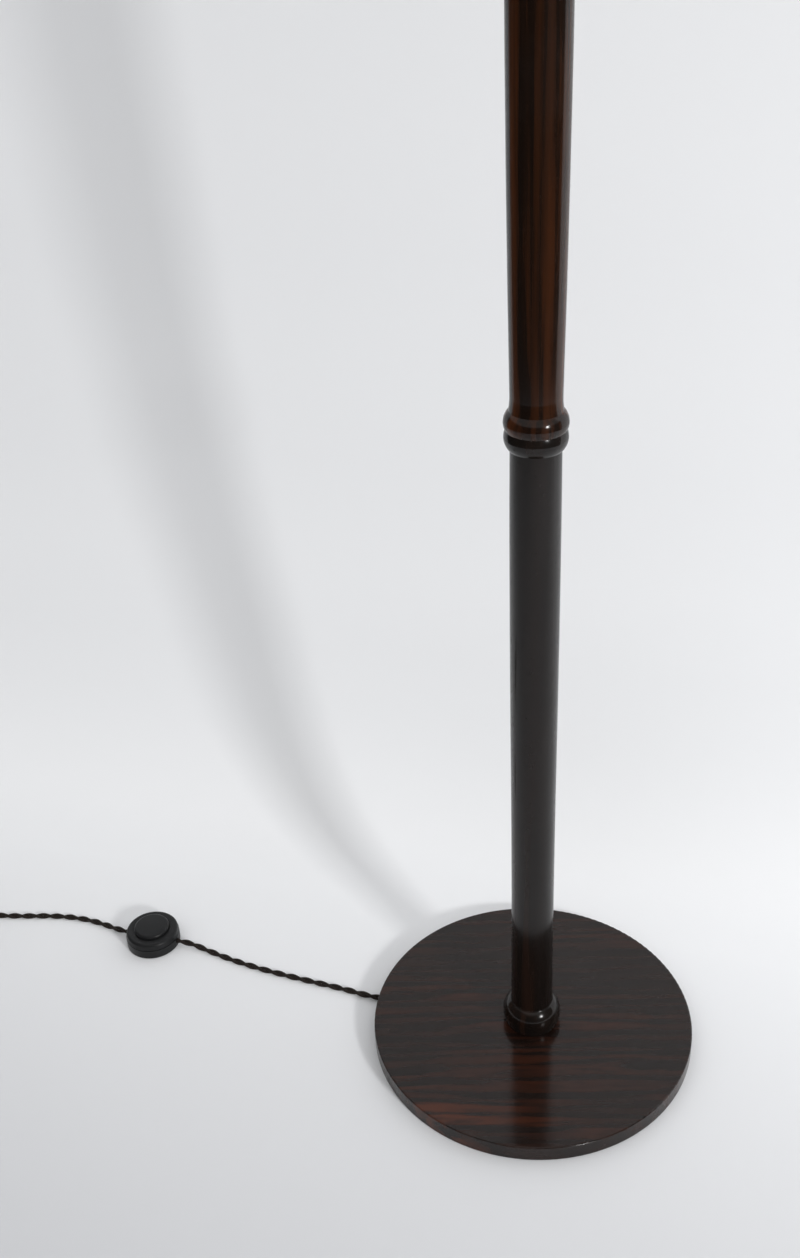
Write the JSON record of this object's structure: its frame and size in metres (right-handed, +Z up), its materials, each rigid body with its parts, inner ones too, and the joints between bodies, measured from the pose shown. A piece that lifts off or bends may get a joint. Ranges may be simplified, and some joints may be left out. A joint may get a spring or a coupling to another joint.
{
  "type": "candlestick floor lamp",
  "caption": "Turned dark wood floor lamp on a round base, with screw lamp holder, plain tapered shade, foot switch on a twisted cord, and plug.",
  "frame": {"origin": "centre of the base's underside, on the floor", "axes": "+Z up along the column; the cord leaves the base along -X"},
  "size_m": [0.9074, 0.4112, 1.472],
  "materials": {
    "stained_wood": "dark stained, semi-gloss lacquer",
    "steel": "plain zinc-plated",
    "zinc_tube": "yellow zinc-plated thread",
    "felt": "matt felt",
    "cord_fabric": "braided textile, dark brown",
    "core_plastic": "insulated cores",
    "brass": "satin",
    "holder_plastic": "moulded black",
    "ceramic": "glazed ceramic, white",
    "shade_wire": "white coated wire",
    "shade_fabric": "plain woven linen, off-white",
    "shade_binding": "folded cotton tape",
    "switch_plastic": "satin moulded black",
    "rubber": "matt",
    "plug_plastic": "satin moulded black",
    "grip_plastic": "moulded grey"
  },
  "bodies": {
    "lamp": {"ballast_plate": "steel", "ballast_screws": "steel", "base_disc": "stained_wood", "base_felt": "felt", "base_nut": "steel", "base_washer": "steel", "column_cap": "brass", "column_lower": "stained_wood", "column_upper": "stained_wood", "cord_coil": "cord_fabric", "cord_lamp_side": "cord_fabric", "cord_wall_side": "cord_fabric", "holder_cap": "holder_plastic", "holder_centre_contact": "brass", "holder_insulator": "ceramic", "holder_screw_shell": "brass", "holder_shell": "holder_plastic", "holder_terminal_screws": "steel", "inner_lead": "cord_fabric", "plug_body": "plug_plastic", "plug_cord_grip": "grip_plastic", "plug_cover": "plug_plastic", "plug_leads": "core_plastic", "plug_pins": "brass", "plug_screw": "steel", "plug_terminal_screws": "steel", "shade_frame": "shade_wire", "shade_ring_lower": "holder_plastic", "shade_ring_upper": "holder_plastic", "shade_skin": "shade_fabric", "shade_top_hoop": "shade_wire", "shade_trim_lower": "shade_binding", "shade_trim_upper": "shade_binding", "stem_tube": "zinc_tube", "switch_base": "switch_plastic", "switch_contacts": "brass", "switch_cord_grips": "grip_plastic", "switch_cores": "core_plastic", "switch_cover": "switch_plastic", "switch_cover_screws": "steel", "switch_pads": "rubber", "switch_spring": "steel", "switch_terminal_screws": "steel", "switch_terminals": "brass"},
    "button": {"switch_button": "switch_plastic", "switch_bridge": "brass"}
  },
  "joints": [
    {"name": "button_press", "type": "slide", "parent": "lamp", "child": "button", "axis": [0, 0, -1], "range_m": [0, 0.0035], "stiffness_N_per_m": 900, "springref_m": -0.002, "deforming": ["switch_spring"]}
  ]
}
